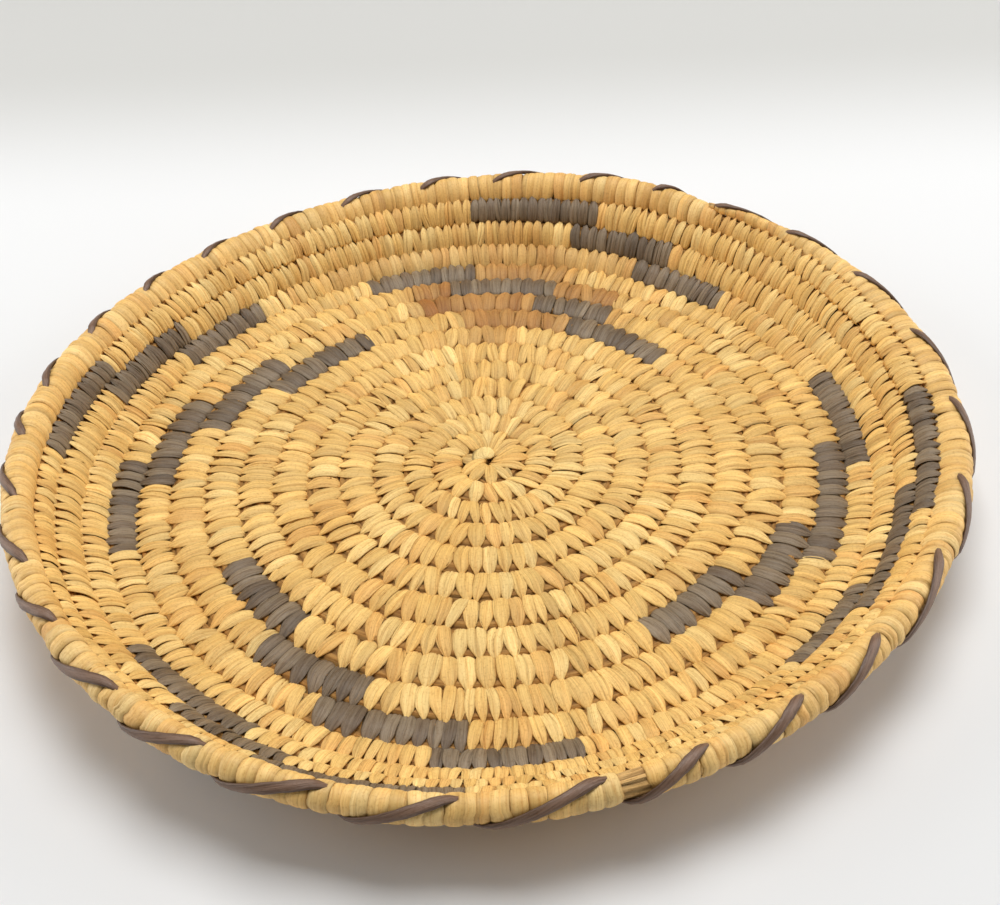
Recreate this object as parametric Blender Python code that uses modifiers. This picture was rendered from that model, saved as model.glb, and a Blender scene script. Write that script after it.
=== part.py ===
"""Coiled basket plate with a dark stepped whirl and a lashed rim.

One bundle of grass stems winds out from the centre of the plate in a flat
spiral, climbs as a low wall and ends in a thicker coil at the rim.  Strips of
split leaf sew every turn to the one inside it.  Where the strips are dark,
they wrap a narrowed stretch of the bundle and draw four stepped arms in two
bands.  A last dark strip winds round the rim coil in a long slant.

Metres, +Z up.  The origin is on the underside, in the middle of the outline;
the spiral starts a little to one side of it.  The front faces -Y.
"""

import math

import bmesh
import bpy
import numpy as np

MM = 0.001

# Section of the plate.  A turn is one trip round the spiral, counted from the
# back of the plate (+Y) and going anticlockwise as seen from above.
START_RADIUS = 2.1 * MM
SPIRAL_CENTRE = (-2.3 * MM, 1.7 * MM, 0.0)
TURN_PITCH = ((0, 8.0), (2, 8.3), (4, 9.4), (6, 9.7), (9, 9.8), (11, 8.1), (15, 7.7))
TURN_SLOPE = ((10.6, 0), (11.6, 18), (12.5, 40), (13.5, 48), (15, 50))
COIL_RADIUS = ((0.06, 1.3), (0.7, 3.3), (2, 3.6), (4, 4.1), (6, 4.25), (9.5, 4.2), (11, 3.35), (15, 3.25))

# The plate isn't quite round, nor its wall level.  Each line says how many
# millimetres the cosine and sine of the angle add, then those of twice it.
OUT_OF_ROUND = (0.6, -0.6, 0.6, 1.9)
OUT_OF_LEVEL = (-0.6, 1.6, -0.1, 2.5)

# Where each length of the coil starts and ends, in turns.
BASE_TURNS = (0.06, 10.88)
WALL_END_TURN = 14.892
RIM_END_TURN = 15.89
SPLICE_GAP = 0.3 * MM
END_RUN = 0.004
BASE_POINTS = 24
OUTER_POINTS = 36

# The coil is nearly round, with a flat where it lies on a table.  These are
# the corners of its section for a coil of radius 1, clockwise.
COIL_SECTION = (
    (-0.50, -0.82), (-1.00, -0.35), (-1.00, 0.38), (-0.45, 0.92),
    (0.45, 0.92), (1.00, 0.38), (1.00, -0.35), (0.50, -0.82),
)
FLAT_DEPTH = 0.82

# The rim coil sits out from the last wall turn and thins to a tail.  How far it
# leans in over that turn changes along its length, as in any hand-sewn rim.
RIM_RADIUS = 4.2 * MM
RIM_STEP = 9.3 * MM
RIM_LEAN = (
    (0, 44), (0.1, 36), (0.2, 21), (0.25, 23), (0.35, 49), (0.4, 56), (0.45, 50), (0.55, 22),
    (0.6, 23), (0.7, 40), (0.76, 38), (0.85, 3), (0.9, -8), (0.95, 25), (1, 62),
)
TAIL_RADIUS = 1.4 * MM
TAIL_STEP = 6.6 * MM
TAIL_TURNS = 0.09
BARE_PATCH = (-77.0, -73.5)
BARE_DEPTH = 0.9 * MM

# A dark step is a sleeve of dark strip round a neck in the coil.
SLEEVE_WALL = 0.8 * MM
SLEEVE_FIT = 0.3 * MM
NECK_DEPTH = 1.4 * MM
SHOULDER = 0.15 * MM

# Each step: row, then the angles where it starts and ends, in degrees from +X.
DARK_STEPS = {
    "inner_back": ((7, 40.6, 67.5), (8, 58.8, 78.8), (9, 73.8, 95.6), (10, 91.3, 113.0)),
    "inner_left": ((7, 122.0, 148.5), (8, 142.5, 166.0), (9, 160.0, 182.5), (10, 178.0, 199.4)),
    "inner_front": ((7, 207.5, 234.4), (8, 228.0, 251.0), (9, 244.8, 267.5), (10, 262.5, 283.8)),
    "inner_right": ((8, -59.4, -33.1), (9, -40.0, -17.5), (10, -22.9, 1.3), (11, -3.8, 16.9)),
    "outer_back": ((11, 44.4, 60.6), (12, 57.0, 74.0), (13, 70.6, 91.0)),
    "outer_left": ((11, 133.0, 151.0), (12, 147.5, 167.0), (13, 163.0, 183.5)),
    "outer_front": ((11, 219.0, 239.5), (12, 233.0, 253.0), (13, 247.0, 267.5)),
    "outer_right": ((12, -49.0, -31.0), (13, -38.0, -14.4), (14, -19.8, 2.5)),
}

# The dark strip round the rim: the angles where it tucks in at the top.
LASH_ANGLES = (
    73, 87, 99, 112, 124.5, 137, 148.5, 161, 174, 184.5, 196, 208, 218, 230, 242,
    254, 267, 280, 291.5, 304, 316, 331.5, 345, 359.5, 373.5, 386.5, 398.5,
)
LASH_SLANT = 10.5
LASH_SHOWN = (-35, -8, 18, 45, 72, 98, 125)
LASH_HIDDEN = (158, 191, 224, 257, 290)
LASH_THICK = 0.75 * MM
LASH_PINCHED = 0.3 * MM
LASH_FIT = 0.45 * MM

PALE_STRAW = (0.72, 0.51, 0.24, 1.0)
RIM_STRAW = (0.78, 0.59, 0.31, 1.0)
DARK_STRIP = (0.13, 0.105, 0.09, 1.0)
LASH_BROWN = (0.12, 0.085, 0.07, 1.0)


def stations(table, value):
    """Read a value between the stations of a (place, size) table."""
    places = [place for place, _ in table]
    sizes = [size for _, size in table]
    return float(np.interp(value, places, sizes))


def section_line(steps_per_turn=120, last_turn=16):
    """Step outward from the centre: turn, radius and rise along the section."""
    turns, radii, rises = [0.0], [START_RADIUS], [0.0]
    for step in range(steps_per_turn * last_turn):
        turn = (step + 0.5) / steps_per_turn
        pitch = stations(TURN_PITCH, turn) * MM
        slope = math.radians(stations(TURN_SLOPE, turn))
        turns.append((step + 1) / steps_per_turn)
        radii.append(radii[-1] + pitch * math.cos(slope) / steps_per_turn)
        rises.append(rises[-1] + pitch * math.sin(slope) / steps_per_turn)
    return turns, radii, rises


SECTION = section_line()


def turn_angle(turn):
    return math.radians(90 + 360 * turn)


def row_turn(row, degrees):
    """Turn of the coil's middle in a row, at an angle measured from +X."""
    return row + 0.5 + ((degrees + 90) % 360) / 360


def wave(parts, angle):
    """A gentle wave round the plate, in metres."""
    once = parts[0] * math.cos(angle) + parts[1] * math.sin(angle)
    twice = parts[2] * math.cos(2 * angle) + parts[3] * math.sin(2 * angle)
    return (once + twice) * MM


def place(turn, radius, height):
    """Put a point of the section at its angle, on the not quite round or level plate."""
    angle = turn_angle(turn)
    outward = min(turn / 16, 1.0)
    raised = min(max((turn - 11) / 4.5, 0.0), 1.0)
    radius += outward * wave(OUT_OF_ROUND, angle)
    height += raised * wave(OUT_OF_LEVEL, angle)
    return np.array((radius * math.cos(angle), radius * math.sin(angle), height)) + SPIRAL_CENTRE


def coil_radius(turn):
    return stations(COIL_RADIUS, turn) * MM


def plain_point(turn):
    """Middle of the sewn coil, before the rim pulls it outward."""
    radius = float(np.interp(turn, SECTION[0], SECTION[1]))
    rise = float(np.interp(turn, SECTION[0], SECTION[2]))
    return radius, rise + FLAT_DEPTH * coil_radius(turn)


def rim_share(turn):
    """How far along the rim coil a turn is: 0 at its start, 1 at its tail."""
    return (turn - WALL_END_TURN) / (RIM_END_TURN - WALL_END_TURN)


def tail_share(turn):
    return min(max((turn - RIM_END_TURN + TAIL_TURNS) / TAIL_TURNS, 0.0), 1.0)


def section_point(turn):
    """Radius and height of the coil's middle anywhere along the spiral."""
    blend_start = WALL_END_TURN - 0.33
    if turn <= blend_start:
        return plain_point(turn)
    if turn < WALL_END_TURN:
        share = (turn - blend_start) / (WALL_END_TURN - blend_start)
        ease = share * share * (3 - 2 * share)
        plain, rim = plain_point(turn), section_point(WALL_END_TURN)
        return tuple(a + ease * (b - c) for a, b, c in zip(plain, rim, plain_point(WALL_END_TURN)))
    inner = section_point(turn - 1)
    lean = math.radians(stations(RIM_LEAN, rim_share(turn)))
    step = RIM_STEP + tail_share(turn) * (TAIL_STEP - RIM_STEP)
    return inner[0] + step * math.cos(lean), inner[1] + step * math.sin(lean)


def tube_radius(turn):
    if turn < WALL_END_TURN:
        return coil_radius(turn)
    return RIM_RADIUS + tail_share(turn) * (TAIL_RADIUS - RIM_RADIUS)


def corner_turns(first, last, per_turn):
    """Turns of a coil's corners: even ones, and its two ends on short square runs."""
    even = range(math.ceil((first + END_RUN) * per_turn + 0.2), math.floor((last - END_RUN) * per_turn - 0.2) + 1)
    return [first, first + END_RUN] + [corner / per_turn for corner in even] + [last - END_RUN, last]


class Coil:
    """A length of the spiral, as straight runs between its corners."""

    def __init__(self, first, last, per_turn):
        self.turns = corner_turns(first, last, per_turn)
        self.corners = np.array([place(turn, *section_point(turn)) for turn in self.turns])
        self.radii = np.array([tube_radius(turn) for turn in self.turns])

    def at(self, turn):
        """Point and radius on the straight runs at a turn."""
        point = np.array([np.interp(turn, self.turns, self.corners[:, axis]) for axis in range(3)])
        return point, float(np.interp(turn, self.turns, self.radii))

    def turns_for(self, length, turn):
        """Share of a turn that a short length takes at a place."""
        across = self.at(turn)[0] - SPIRAL_CENTRE
        return length / (2 * math.pi * math.hypot(across[0], across[1]))


def new_collection(name):
    collection = bpy.data.collections.new(name)
    bpy.context.scene.collection.children.link(collection)
    return collection


def new_material(name, colour, roughness):
    material = bpy.data.materials.new(name)
    material.use_nodes = True
    shader = material.node_tree.nodes["Principled BSDF"]
    shader.inputs["Base Color"].default_value = colour
    shader.inputs["Roughness"].default_value = roughness
    shader.inputs["Metallic"].default_value = 0.0
    material.diffuse_color = colour
    return material


def section_guide(collection):
    """The outline that the coil's curves are swept with."""
    curve = bpy.data.curves.new("coil_section", "CURVE")
    curve.dimensions = "2D"
    spline = curve.splines.new("POLY")
    spline.points.add(len(COIL_SECTION) - 1)
    for point, (across, up) in zip(spline.points, COIL_SECTION):
        point.co = (across, up, 0, 1)
    spline.use_cyclic_u = True
    guide = bpy.data.objects.new("coil_section", curve)
    guide.hide_render = True
    guide.display_type = "WIRE"
    collection.objects.link(guide)
    return guide


def tube_curve(name, points, radii, section=None, sides_step=1, caps=True):
    """A straight-run curve swept with the coil's outline, or with a round one."""
    curve = bpy.data.curves.new(name, "CURVE")
    curve.dimensions = "3D"
    curve.use_fill_caps = caps
    if section:
        curve.twist_mode = "Z_UP"
        curve.bevel_mode = "OBJECT"
        curve.bevel_object = section
    else:
        curve.bevel_depth = 1.0
        curve.bevel_resolution = sides_step
    spline = curve.splines.new("POLY")
    spline.points.add(len(points) - 1)
    for corner, point, radius in zip(spline.points, points, radii):
        corner.co = (*point, 1)
        corner.radius = radius
    return bpy.data.objects.new(name, curve)


def mesh_from_curve(curve_object, collection, material):
    """Turn a curve into a welded mesh whose faces point out, and drop the curve."""
    collection.objects.link(curve_object)
    bpy.context.view_layer.update()
    evaluated = curve_object.evaluated_get(bpy.context.evaluated_depsgraph_get())
    mesh = bpy.data.meshes.new_from_object(evaluated)
    name = curve_object.name
    bpy.data.objects.remove(curve_object)
    shape = bmesh.new()
    shape.from_mesh(mesh)
    bmesh.ops.remove_doubles(shape, verts=shape.verts, dist=0.00001)
    bmesh.ops.recalc_face_normals(shape, faces=shape.faces)
    shape.to_mesh(mesh)
    shape.free()
    mesh.materials.clear()
    mesh.materials.append(material)
    mesh.shade_smooth()
    mesh.set_sharp_from_angle(angle=math.radians(40))
    piece = bpy.data.objects.new(name, mesh)
    collection.objects.link(piece)
    return piece


def step_span(coil, row, start, end):
    """The two turns between which a dark step wraps the coil."""
    first = row_turn(row, start)
    return first, first + (end - start) / 360


def coil_with_necks(coil, spans, depth):
    """Corners and radii of a coil that is narrowed between each pair of turns."""
    shoulders = []
    for first, last in spans:
        margin = coil.turns_for(SHOULDER, first)
        shoulders += [(first - margin, 0), (first, 1), (last, 1), (last + margin, 0)]
    plain = []
    for turn in coil.turns:
        inside = any(first < turn < last for first, last in spans)
        plain.append((turn, 1 if inside else 0))
    points, radii = [], []
    for turn, narrowed in sorted(plain + shoulders):
        point, radius = coil.at(turn)
        points.append(point)
        radii.append(radius - depth * narrowed)
    return points, radii


def make_sleeve(name, coil, span, section, collection, material):
    """A dark step: a thin sleeve round the neck, as long as the neck less its fit."""
    margin = coil.turns_for(SLEEVE_FIT, span[0])
    first, last = span[0] + margin, span[1] - margin
    turns = [first] + [turn for turn in coil.turns if first < turn < last] + [last]
    points = [coil.at(turn)[0] for turn in turns]
    radii = [coil.at(turn)[1] for turn in turns]
    sleeve = mesh_from_curve(tube_curve(name, points, radii, section, caps=False), collection, material)
    wall = sleeve.modifiers.new("wall", "SOLIDIFY")
    wall.thickness = SLEEVE_WALL
    wall.offset = -1
    wall.use_even_offset = True
    wall.use_rim = True
    return sleeve


def lash_line(rim):
    """The strip round the rim coil: a slow slant in view, a quick return below."""
    points, radii = [], []
    tucks = list(LASH_ANGLES)
    for number, tuck in enumerate(tucks):
        start = tuck - LASH_SLANT
        following = tucks[number + 1] - LASH_SLANT if number + 1 < len(tucks) else tuck + 1.5
        shown = [(start + LASH_SLANT * i / (len(LASH_SHOWN) - 1), around, 1)
                 for i, around in enumerate(LASH_SHOWN)]
        hidden = [(tuck + (following - tuck) * (i + 1) / (len(LASH_HIDDEN) + 1), around, 0)
                  for i, around in enumerate(LASH_HIDDEN)]
        for degrees, around, in_view in shown + hidden:
            middle, rim_radius = rim.at(14.5 + (degrees + 90) / 360)
            edge = in_view and around in (LASH_SHOWN[0], LASH_SHOWN[-1])
            thickness = LASH_THICK if in_view and not edge else LASH_PINCHED
            reach = rim_radius + LASH_FIT + thickness
            across = (middle - SPIRAL_CENTRE) * (1, 1, 0)
            outward = across / np.linalg.norm(across)
            turn = math.radians(around)
            points.append(middle + reach * (outward * math.cos(turn) + np.array((0, 0, math.sin(turn)))))
            radii.append(thickness)
    return points, radii


def segment_gap(points_a, radii_a, points_b, radii_b, apart=0):
    """Least distance from corners of one tube to runs of another, less both radii.

    With apart above 0 both are the same tube, and near runs are passed over.
    """
    start, end = np.array(points_b[:-1]), np.array(points_b[1:])
    run = end - start
    length = np.maximum((run * run).sum(1), 1e-12)
    least = 1.0
    for index, point in enumerate(points_a):
        along = np.clip(((point - start) * run).sum(1) / length, 0, 1)
        nearest = start + run * along[:, None]
        radius_b = np.array(radii_b[:-1]) * (1 - along) + np.array(radii_b[1:]) * along
        gap = np.linalg.norm(point - nearest, axis=1) - radius_b - radii_a[index]
        if apart:
            order = np.arange(len(run))
            gap = gap[(order < index - apart) | (order > index + apart)]
        if len(gap):
            least = min(least, float(gap.min()))
    return least


def report_gap(label, gap):
    print(f"least gap, {label}: {gap / MM:.2f} mm")


def build():
    for leftover in list(bpy.data.objects):
        bpy.data.objects.remove(leftover)
    plate = new_collection("coiled_basket_plate")
    guides = new_collection("guides")
    section = section_guide(guides)

    pale = new_material("pale_sewing", PALE_STRAW, 0.62)
    rim_pale = new_material("rim_wrapping", RIM_STRAW, 0.55)
    dark = new_material("dark_sewing", DARK_STRIP, 0.6)
    lash_brown = new_material("dark_lashing", LASH_BROWN, 0.5)

    base = Coil(*BASE_TURNS, BASE_POINTS)
    splice = base.turns_for(SPLICE_GAP, BASE_TURNS[1])
    wall = Coil(BASE_TURNS[1] + splice, WALL_END_TURN, OUTER_POINTS)
    splice = wall.turns_for(SPLICE_GAP, WALL_END_TURN)
    rim = Coil(WALL_END_TURN + splice, RIM_END_TURN, OUTER_POINTS)

    spans = {base: [], wall: []}
    for motif, steps in DARK_STEPS.items():
        for number, (row, start, end) in enumerate(steps, 1):
            coil = base if row_turn(row, start) < BASE_TURNS[1] else wall
            span = step_span(coil, row, start, end)
            spans[coil].append(span)
            make_sleeve(f"dark_step_{motif}_{number}", coil, span, section, plate, dark)

    base_line = coil_with_necks(base, spans[base], NECK_DEPTH)
    wall_line = coil_with_necks(wall, spans[wall], NECK_DEPTH)
    bare = [(14.5 + (degrees + 90 + 360) / 360) for degrees in BARE_PATCH]
    rim_line = coil_with_necks(rim, [tuple(bare)], BARE_DEPTH)
    lash = lash_line(rim)

    mesh_from_curve(tube_curve("base_coil", *base_line, section), plate, pale)
    mesh_from_curve(tube_curve("wall_coil", *wall_line, section), plate, pale)
    mesh_from_curve(tube_curve("rim_coil", *rim_line, sides_step=2), plate, rim_pale)
    mesh_from_curve(tube_curve("rim_lashing", *lash, sides_step=1), plate, lash_brown)

    report_gap("base coil to itself", segment_gap(base.corners, base.radii, base.corners, base.radii, 16))
    report_gap("wall coil to itself", segment_gap(wall.corners, wall.radii, wall.corners, wall.radii, 24))
    report_gap("base coil to wall coil",
               segment_gap(base.corners[:-12], base.radii[:-12], wall.corners[12:], wall.radii[12:]))
    report_gap("wall coil to rim coil",
               segment_gap(wall.corners[:-24], wall.radii[:-24], rim.corners[:-2], rim.radii[:-2]))
    report_gap("lashing to itself", segment_gap(lash[0], lash[1], lash[0], lash[1], 8))
    report_gap("lashing to wall coil", segment_gap(lash[0], lash[1], wall.corners, wall.radii))
    report_gap("lashing to rim coil", segment_gap(lash[0], lash[1], rim_line[0], rim_line[1]))
    for label, coil in (("base", base), ("wall", wall), ("rim", rim)):
        far = np.abs(coil.corners).max(0) / MM
        print(f"{label}: reach x {far[0]:.1f} y {far[1]:.1f} top {coil.corners[:, 2].max() / MM:.1f} mm")


build()
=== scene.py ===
"""Finished look of the coiled basket plate: every stitch, wrap and slant of the lashing."""

import math

import bpy
import numpy as np
from mathutils import Matrix, Vector


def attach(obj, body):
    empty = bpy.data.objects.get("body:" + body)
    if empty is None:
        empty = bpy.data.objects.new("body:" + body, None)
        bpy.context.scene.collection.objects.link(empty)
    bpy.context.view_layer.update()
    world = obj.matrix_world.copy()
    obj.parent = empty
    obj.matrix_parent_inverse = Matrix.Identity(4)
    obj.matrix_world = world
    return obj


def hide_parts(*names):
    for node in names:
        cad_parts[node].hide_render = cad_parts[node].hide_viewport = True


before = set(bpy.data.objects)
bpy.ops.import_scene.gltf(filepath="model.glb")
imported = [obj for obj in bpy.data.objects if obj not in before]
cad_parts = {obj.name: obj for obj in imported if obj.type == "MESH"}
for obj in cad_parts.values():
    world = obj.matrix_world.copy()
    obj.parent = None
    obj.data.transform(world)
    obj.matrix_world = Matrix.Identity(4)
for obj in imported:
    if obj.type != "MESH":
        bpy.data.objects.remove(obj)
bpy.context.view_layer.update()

MM = 0.001

# Section of the plate, as in the CAD.  A turn is one trip round the spiral,
# counted from the back (+Y) and going anticlockwise as seen from above.  Three
# tables say by turn how many millimetres lie between one turn and the next, how
# many degrees the section slopes up, and how many millimetres the stitches stand
# over the coil's middle.
SPIRAL_CENTRE = np.array((-2.3, 1.7, 0.0)) * MM
START_RADIUS = 2.1 * MM
TURN_PITCH = (
    (0, 8.0), (2, 8.3), (4, 9.4), (6, 9.7), (9, 9.8), (11, 8.6), (12.5, 8.0), (14, 7.2), (16, 7.2),
)
TURN_SLOPE = ((10.6, 0), (11.6, 18), (12.5, 40), (13.5, 48), (15, 52))
CROWN = ((0, 3.2), (1, 3.5), (4, 3.9), (9, 3.9), (11, 3.6), (16, 3.5))
MIDDLE_HEIGHT = 3.5 * MM

# Turns where the base coil ends and the wall coil goes on, where that ends and the
# rim coil goes on, and where the rim ends.
BASE_END = 10.88
WALL_END = 14.892
RIM_END = 15.892

# The rim coil's radius, in full and at its start.  Then how many millimetres from
# the centre and from the floor it starts, and how many it moves out in its turn.
RIM_RADIUS = 4.37 * MM
RIM_START_RADIUS = 3.8 * MM
RIM_START = (128.1, 22.5)
RIM_SPREAD = 3.9

# The rim's tail: the turns in which it thins, its last radius, and how far it
# rides in and up beside the rim's start.
TAIL_TURNS = 0.09
TAIL_RADIUS = 1.1 * MM
TAIL_RIDE = (-6.1 * MM, 5.8 * MM)

# The plate isn't quite round or level, nor is its rim equally thick.  Each line
# says how many millimetres the cosine and sine of the angle add, then those of
# two and three times it.
OUT_OF_ROUND = (0.62, -0.57, 0.6, 1.94)
OUT_OF_LEVEL = (-0.6, 1.6, -0.1, 2.5)
RIM_OUT_OF_ROUND = (1.7, 0.2, 0.5, 1.9, 0.7, 0.9)
RIM_OUT_OF_LEVEL = (-1.3, 0.0, 0.2, 1.5, -1.1, -1.1)
RIM_SWELL = (0.1, 0.7)

# Out of round grows from the centre over this many turns.  Out of level grows from
# one turn on, over so many.
ROUND_OVER = 16
LEVEL_FROM, LEVEL_OVER = 11, 4.5

# The turns drift off the rim's centre: turn, millimetres to the right and back.
DRIFT = (
    (0, 1.4, -0.6), (6, 1.1, -1.8), (10.5, 1.0, -1.8), (12.5, 0.8, -0.9), (14.8, 0.3, -0.2), (15, 0, 0),
)

# At the front left the wall sags: the middle and reach of the sag in degrees, how
# far it goes out and down, and the share of that at each of four turns.
SAG_AT, SAG_REACH = 249, 38
SAG_OUT, SAG_DOWN = 1.2 * MM, 1.4 * MM
SAG_TURNS = ((11.2, 12.2, 13.3, 14.5), (0, 0.1, 1.0, 1.5))

# How far the wall coil climbs before the rim begins on it.  The climb starts at the
# first of these turns, is full from the second to the third, and is over at the last.
CLIMB = 1.0 * MM
CLIMB_TURNS = (12.4, 13.85, 14.1, 14.5)

# How far the rim's start stands out and up, and for how much of a turn.  Then how
# far its first bit is tucked in, and how long that is.
RIM_START_RISE = (0.3 * MM, 1.4 * MM)
RIM_START_TURNS = 0.11
RIM_START_TUCK = 2.4 * MM
RIM_TUCK_TURNS = 0.035

# Millimetres from stitch to stitch along the coil, by turn.  Two stitches share a
# gap that has grown to somewhere between these two multiples of it, and one sits
# in any other.  The first stitches follow only the spacing, up to this turn.
STITCH_STEP = (
    (0, 2.9), (1, 3.4), (3, 3.9), (7, 4.5), (8.5, 4.5), (10, 4.1), (11, 3.8), (12, 3.3), (15, 3.4),
)
EXTRA_FROM, EXTRA_TO = 1.05, 1.6
FREE_TURNS = 1.30

# Distance from wrap to wrap along the rim, how much the lashing squeezes it and
# within how many degrees, and the length of the rim.
WRAP_STEP = 4.1 * MM
WRAP_SQUEEZE = 1.5 * MM
SQUEEZE_REACH = 1.8
RIM_LENGTH = 2 * np.pi * 130 * MM

# Width as a multiple of the room along the coil: of a dark stitch, of a pale one at
# least and at most, and of a wrap.
DARK_OVERLAP = 1.1
PALE_OVERLAP = (1.02, 1.2)
WRAP_OVERLAP = 1.2193

# Each dark step: row, then the angles where it starts and ends, in degrees from +X.
DARK_STEPS = {
    "inner_back": ((7, 40.6, 67.5), (8, 58.8, 78.8), (9, 73.8, 95.6), (10, 91.3, 113.0)),
    "inner_left": ((7, 122.0, 148.5), (8, 142.5, 166.0), (9, 160.0, 182.5), (10, 178.0, 199.4)),
    "inner_front": ((7, 209.3, 232.4), (8, 229.2, 251.0), (9, 244.8, 267.5), (10, 262.5, 281.8)),
    "inner_right": ((8, -60.5, -35.4), (9, -40.7, -20.2), (10, -25.6, 0.6), (11, -4.5, 16.2)),
    "outer_back": ((11, 42.8, 60.0), (12, 55.8, 73.6), (13, 69.8, 91.0)),
    "outer_left": ((11, 133.0, 151.0), (12, 147.5, 167.0), (13, 163.0, 183.5)),
    "outer_front": ((11, 219.0, 239.5), (12, 232.0, 247.8), (13, 245.5, 267.5)),
    "outer_right": ((12, -49.0, -31.0), (13, -38.0, -14.4), (14, -19.8, 2.5)),
}

# Angles where the dark lashing tucks in at the top of the rim, the angle where its
# first slant begins, and how many degrees it takes to pass under the rim.
LASH_ANGLES = (
    61, 73, 87, 99, 112, 124.5, 137, 148.5, 161, 174, 184.5, 196, 208, 218, 230, 242,
    255, 267.5, 281.6, 292.3, 304, 316, 331.5, 345, 359.5, 373.5, 386.5, 398.5, 410.5,
)
LASH_FIRST = 52.5
LASH_TUCK = 1.2

# The lashing comes up from this many degrees below the rim's outside, and goes
# over the top as far as the second line says at the angles of the first.
LASH_FROM = -42
LASH_OVER = (
    (0, 60, 90, 120, 180, 210, 240, 268, 286, 315, 360),
    (86, 108, 116, 108, 92, 102, 105, 104, 116, 96, 86),
)

# Half the lashing's width and thickness, and the share of the width that is left
# at the ends of a slant and under the rim.
LASH_WIDE, LASH_THICK = 1.32 * MM, 0.68 * MM
LASH_END_WIDTH, LASH_UNDER_WIDTH = 0.62, 0.5

# How many millimetres the lashing stands over the rim coil, along a slant and at its
# ends, and at these shares of its way under the rim.
LASH_PROUD, LASH_END_PROUD = 0.25, -0.7
LASH_UNDER = ((0.2, -1.3), (0.5, -1.7), (0.8, -1.3))

# How deep the lashing presses into the wraps, how many millimetres to either side,
# and at what share of the rim's radius those are measured.  Then how much it pinches
# the rim where it tucks in, and for how many degrees.
LASH_GROOVE = 0.35 * MM
GROOVE_REACH = 1.5
GROOVE_AT = 0.93
LASH_PINCH = 0.25 * MM
PINCH_REACH = 1.6

# The rim is worn bare between these angles.  By turn, how many millimetres its
# bundle of stems lies under the wraps: less at the bare patch.
BARE_PATCH = (282.7, 284.9)
RIM_BUNDLE_DEPTH = ((15.532, 1.1), (15.535, 0.6), (15.5425, 0.6), (15.546, 1.1))

# One stitch as a closed loop round its coil.  Each entry gives the way out from
# the coil's middle as a share of half the row, the height as a share of the
# crown, and the share of the full width.  A stitch rises between two tips of
# the row before, crosses the coil, and ends in a tip of its own.
LEAF = np.array((
    (-1.27, 0.34, 0.54), (-1.21, 0.54, 0.74), (-1.10, 0.66, 0.89), (-0.95, 0.75, 0.98),
    (-0.76, 0.84, 1.01), (-0.52, 0.92, 1.02), (-0.26, 0.97, 1.02), (0.0, 1.0, 1.01),
    (0.24, 0.98, 0.98), (0.46, 0.93, 0.91), (0.66, 0.86, 0.78), (0.84, 0.78, 0.60),
    (1.01, 0.70, 0.40), (1.17, 0.60, 0.25), (1.30, 0.42, 0.15), (1.22, -0.04, 0.16),
    (1.05, -0.38, 0.34), (0.78, -0.62, 0.68), (0.42, -0.79, 0.93), (0.0, -0.85, 1.0),
    (-0.42, -0.79, 0.98), (-0.78, -0.60, 0.85), (-1.02, -0.36, 0.6), (-1.16, -0.06, 0.42),
))

# One wrap of the rim, in the same way, round the rim coil.
WRAP = np.array((
    (-1.30, 0.14, 0.60), (-1.24, 0.40, 0.78), (-1.10, 0.58, 0.90), (-0.92, 0.70, 0.97),
    (-0.66, 0.85, 1.0), (-0.36, 0.95, 1.0), (0.0, 1.0, 1.0), (0.34, 0.96, 1.0),
    (0.64, 0.82, 1.0), (0.86, 0.58, 1.0), (0.98, 0.28, 1.0), (1.0, -0.04, 1.0),
    (0.94, -0.36, 1.0), (0.8, -0.64, 1.0), (0.58, -0.84, 1.0), (0.28, -0.97, 1.0),
    (-0.06, -1.0, 1.0), (-0.4, -0.92, 0.98), (-0.74, -0.7, 0.9), (-1.0, -0.4, 0.75),
    (-1.18, -0.1, 0.62),
))

# A stitch's head lies further in than this share of half the row.
HEAD_AT = -0.95

# Points across a stitch, and the one under it that closes its section.
ACROSS = np.append(np.linspace(-1, 1, 15), 0.0)
UNDERSIDE = 1.1 * MM

# The edges of a stitch fall by a share of its width, though never by more than this
# share of the crown.  The fall is scaled along the stitch: the way out, then the
# scale.  Painted shade darkens the edges by this much as well.
DOME_LIMIT = 0.165
DOME_ALONG = ((-1.2, -0.3, 0.6), (1.1, 0.85, 0.85))
EDGE_SHADE = 0.2

# Folds along a stitch: their depths in millimetres and how often each comes up, how
# wide they are as a share of half the stitch, and how much painted shade a metre
# of depth would put in them.
FOLD_DEPTHS = (0.06, 0.14, 0.28, 0.6)
FOLD_ODDS = (0.36, 0.34, 0.22, 0.08)
FOLD_WIDTH = 0.09
FOLD_SHADE = 330

# How much stitches differ in reach, in width along their length, and in tilt.
REACH_SPREAD, WIDTH_WAVE, TILT_SPREAD = 0.025, 0.05, 0.06

# How many millimetres they differ in height, lean at their ends and sway sideways.
HEIGHT_SPREAD, LEAN, SWAY_SPREAD = 0.12, 0.1, 0.14

# The bundle of stems: points round it, of which every third lies in a furrow this
# deep and takes this share of the colour as painted shade, its twist in radians a
# turn, and its room above the floor.
BUNDLE_SIDES = 30
FURROW_DEPTH = 0.45 * MM
FURROW_SHADE = 0.6
STEM_TWIST = 1.3
BUNDLE_ROOM = 0.3 * MM

# Brown stain at the back: row, the angles where it starts and ends, and its strength.
# Its ends are soft over a few degrees.
STAINS = (
    (11, 60, 120, 0.35), (10, 72, 91, 0.75), (9, 60, 74, 0.85), (9, 95, 106, 0.9),
    (8, 56, 59, 0.7), (8, 78, 106, 1.0), (7, 67, 96, 0.85), (6, 84, 96, 0.5),
)
STAIN_SOFT = 4.0
STAIN_TONE = np.array((0.42, 0.18, 0.048))

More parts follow.
